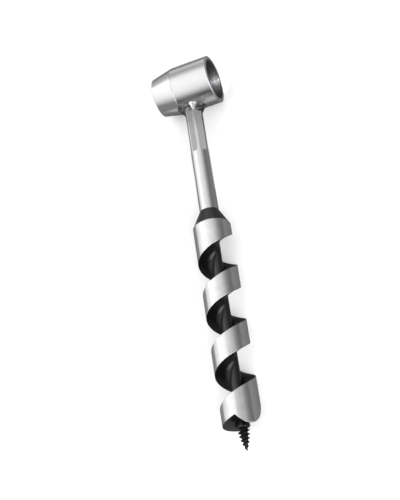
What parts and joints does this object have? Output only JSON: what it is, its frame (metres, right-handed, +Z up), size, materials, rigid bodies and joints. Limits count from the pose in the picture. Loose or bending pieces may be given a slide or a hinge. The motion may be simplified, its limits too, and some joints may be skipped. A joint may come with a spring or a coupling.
{
  "type": "gimlet",
  "caption": "Hand auger with a tapered tube eye for a stick handle, hexagonal and round shank, single-twist flight with spur and a tapered lead screw.",
  "frame": {"origin": "where the axis of the eye crosses the axis of the shank", "axes": "+X along the eye towards its large mouth, -Y along the shank and the bit to the point of the lead screw, +Z up when the tool lies on a bench"},
  "size_m": [0.0421, 0.2751, 0.0336],
  "materials": {
    "turned_steel": "fine turned satin, bright",
    "milled_steel": "satin, drawn along the bar",
    "ground_steel": "ground round the axis, bright",
    "weld_metal": "rough rippled weld, heat-darkened",
    "black_finish": "black satin lacquer"
  },
  "bodies": {
    "root": {"eye_tube": "turned_steel", "weld_bead_mouth_side": "weld_metal", "weld_bead_tail_side": "weld_metal", "hex_shank": "milled_steel", "round_shank": "milled_steel", "shoulder": "black_finish", "core": "black_finish", "flight": "ground_steel", "cutter": "ground_steel", "spur": "ground_steel", "lead_screw": "black_finish"}
  },
  "joints": []
}
